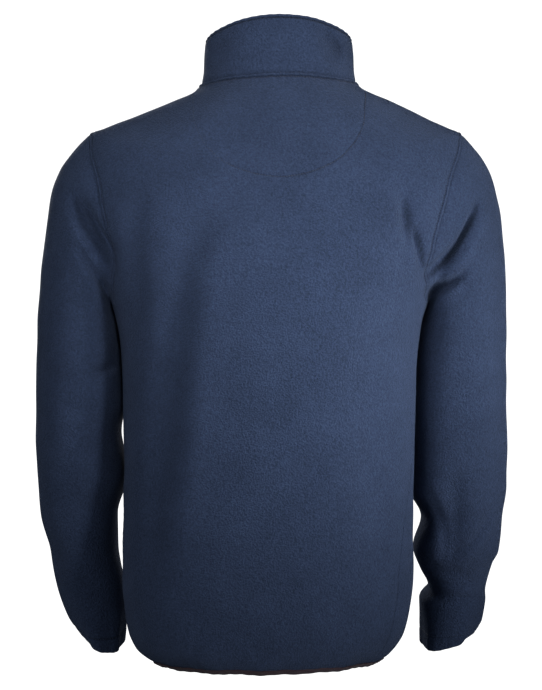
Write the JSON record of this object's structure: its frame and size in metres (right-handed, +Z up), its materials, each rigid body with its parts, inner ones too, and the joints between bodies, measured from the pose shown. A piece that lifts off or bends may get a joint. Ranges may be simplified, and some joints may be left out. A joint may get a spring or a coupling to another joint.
{
  "type": "fleece zip jacket",
  "caption": "Navy fleece jacket, filled out as if worn, with a stand collar, full-length front zip, hanging sleeves and a bound, gathered hem.",
  "frame": {"origin": "centre of the neck seam ring, at the height of the side neck points, where the wearer's neck and shoulders hold the jacket", "axes": "+Z up along the body, the front and its zip face -Y, the wearer's left is +X"},
  "size_m": [0.5625, 0.2735, 0.7633],
  "materials": {
    "fleece": "napped",
    "hem_elastic": "ribbed elastic",
    "zip_tape": "woven",
    "zip_plastic": "matte",
    "zip_metal": "dark satin"
  },
  "bodies": {
    "jacket": {"back_panel": "fleece", "front_left": "fleece", "front_right": "fleece", "sleeve_left": "fleece", "sleeve_right": "fleece", "collar": "fleece", "hem_binding": "hem_elastic", "zip_tape_left": "zip_tape", "zip_tape_right": "zip_tape", "zip_chain": "zip_plastic", "zip_box": "zip_plastic", "zip_slider": "zip_metal"},
    "zip_pull": {"zip_pull": "zip_metal"}
  },
  "joints": [
    {"name": "zip_pull", "type": "hinge", "parent": "jacket", "child": "zip_pull", "pos_m": [0.0003, -0.08025, 0.001], "axis": [-1, 0, 0], "range_deg": [0, 170]}
  ]
}
